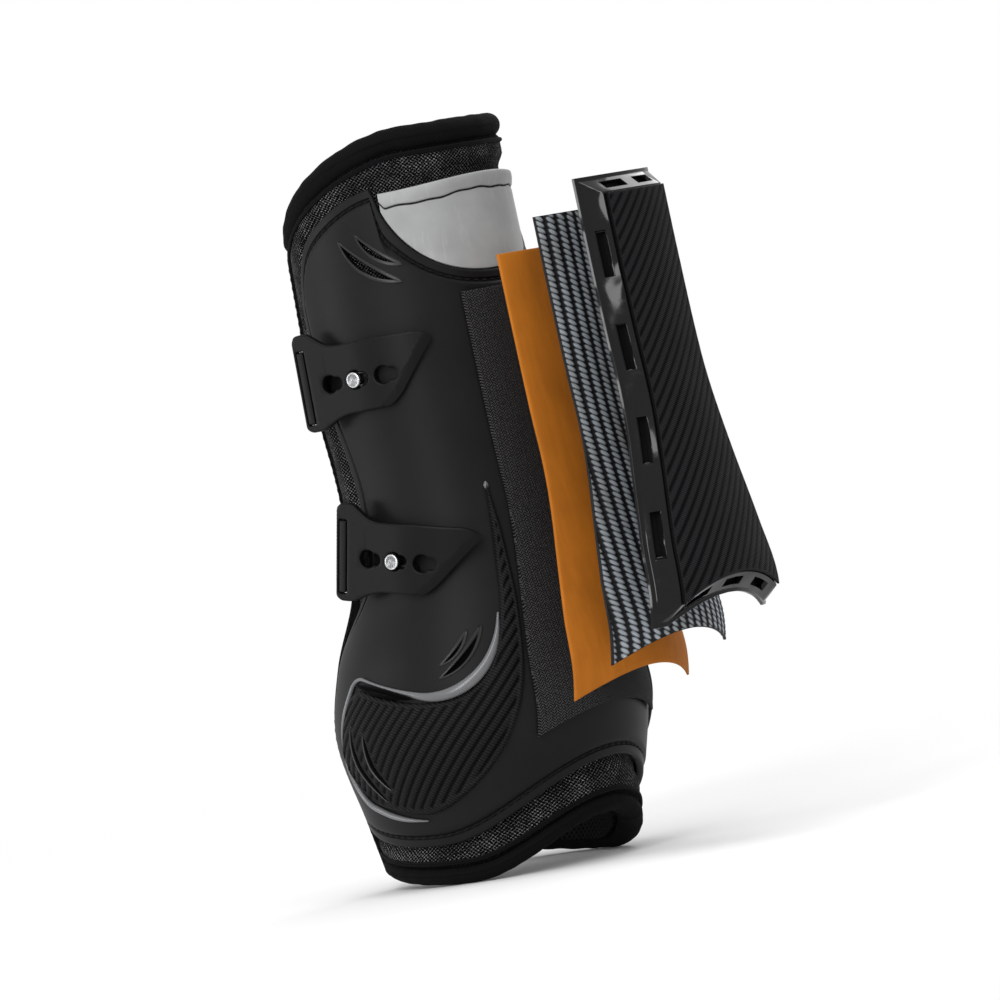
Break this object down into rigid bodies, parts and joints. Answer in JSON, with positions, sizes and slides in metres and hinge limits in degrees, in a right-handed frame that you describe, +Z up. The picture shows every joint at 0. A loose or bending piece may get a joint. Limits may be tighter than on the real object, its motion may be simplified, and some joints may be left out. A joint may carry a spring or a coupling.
{
  "type": "horse tendon boot",
  "caption": "Open-front tendon boot for a horse's fore leg: moulded shell, padded liner, stud-closed elastic straps and a layered back insert lifted away.",
  "frame": {"origin": "axis of the horse's leg at the level of the hem's lowest point", "axes": "+Z up the leg, +X to the outside of the leg, +Y to its back; the front is open towards -Y"},
  "size_m": [0.1094, 0.1585, 0.25],
  "materials": {
    "shell_tpu": "satin moulded TPU, charcoal",
    "panel_tpu": "matte soft grey TPU",
    "air_mesh": "black air mesh over foam",
    "lining_cloth": "black perforated lining cloth",
    "roll_cloth": "black stretch cloth over a padded roll",
    "piping_cord": "black woven piping",
    "binding_tape": "black stretch binding",
    "strike_rubber": "black ribbed rubber",
    "gloss_trim": "glossy grey TPU bead",
    "hook_cloth": "black hook tape with a diamond knit",
    "impact_foam": "matte orange impact foam",
    "carbon_weave": "silver and black carbon weave",
    "frame_gloss": "high gloss black frame",
    "face_rubber": "matte black twill-ribbed face",
    "stud_steel": "turned stainless steel",
    "elastic_web": "black ribbed elastic",
    "tab_tpu": "satin charcoal TPU"
  },
  "bodies": {
    "boot": {"outer_shell": "shell_tpu", "tendon_panel": "panel_tpu", "liner_pad": "air_mesh", "inner_lining": "lining_cloth", "top_roll": "roll_cloth", "top_piping": "piping_cord", "hem_roll": "roll_cloth", "hem_piping": "piping_cord", "front_binding_lateral": "binding_tape", "front_binding_medial": "binding_tape", "strike_pad_lateral": "strike_rubber", "strike_pad_medial": "strike_rubber", "pad_trim_lateral": "gloss_trim", "pad_trim_medial": "gloss_trim", "hook_field": "hook_cloth", "upper_stud": "stud_steel", "lower_stud": "stud_steel", "upper_washer": "stud_steel", "lower_washer": "stud_steel", "upper_elastic": "elastic_web", "lower_elastic": "elastic_web", "upper_keeper": "tab_tpu", "lower_keeper": "tab_tpu"},
    "upper_tab": {"upper_tab": "tab_tpu"},
    "lower_tab": {"lower_tab": "tab_tpu"},
    "impact_sheet": {"impact_sheet": "impact_foam"},
    "carbon_sheet": {"carbon_sheet": "carbon_weave"},
    "insert_cover": {"insert_frame": "frame_gloss", "insert_face": "face_rubber"}
  },
  "joints": [
    {"name": "upper_tab_hinge", "type": "hinge", "parent": "boot", "child": "upper_tab", "pos_m": [0.04495, -0.0164, 0.16965], "axis": [-0.002, 0.0173, -0.9998], "range_deg": [0, 110]},
    {"name": "lower_tab_hinge", "type": "hinge", "parent": "boot", "child": "lower_tab", "pos_m": [0.04751, -0.01072, 0.11318], "axis": [0.0235, -0.2066, -0.9781], "range_deg": [0, 110]},
    {"name": "impact_sheet_slide", "type": "slide", "parent": "boot", "child": "impact_sheet", "axis": [0, -0.8509, -0.5253], "range_m": [0, 0.01904]},
    {"name": "carbon_sheet_slide", "type": "slide", "parent": "impact_sheet", "child": "carbon_sheet", "axis": [0, -0.8509, -0.5253], "range_m": [0, 0.01904]},
    {"name": "cover_slide", "type": "slide", "parent": "carbon_sheet", "child": "insert_cover", "axis": [0, -0.8695, -0.494], "range_m": [0, 0.02024]}
  ]
}
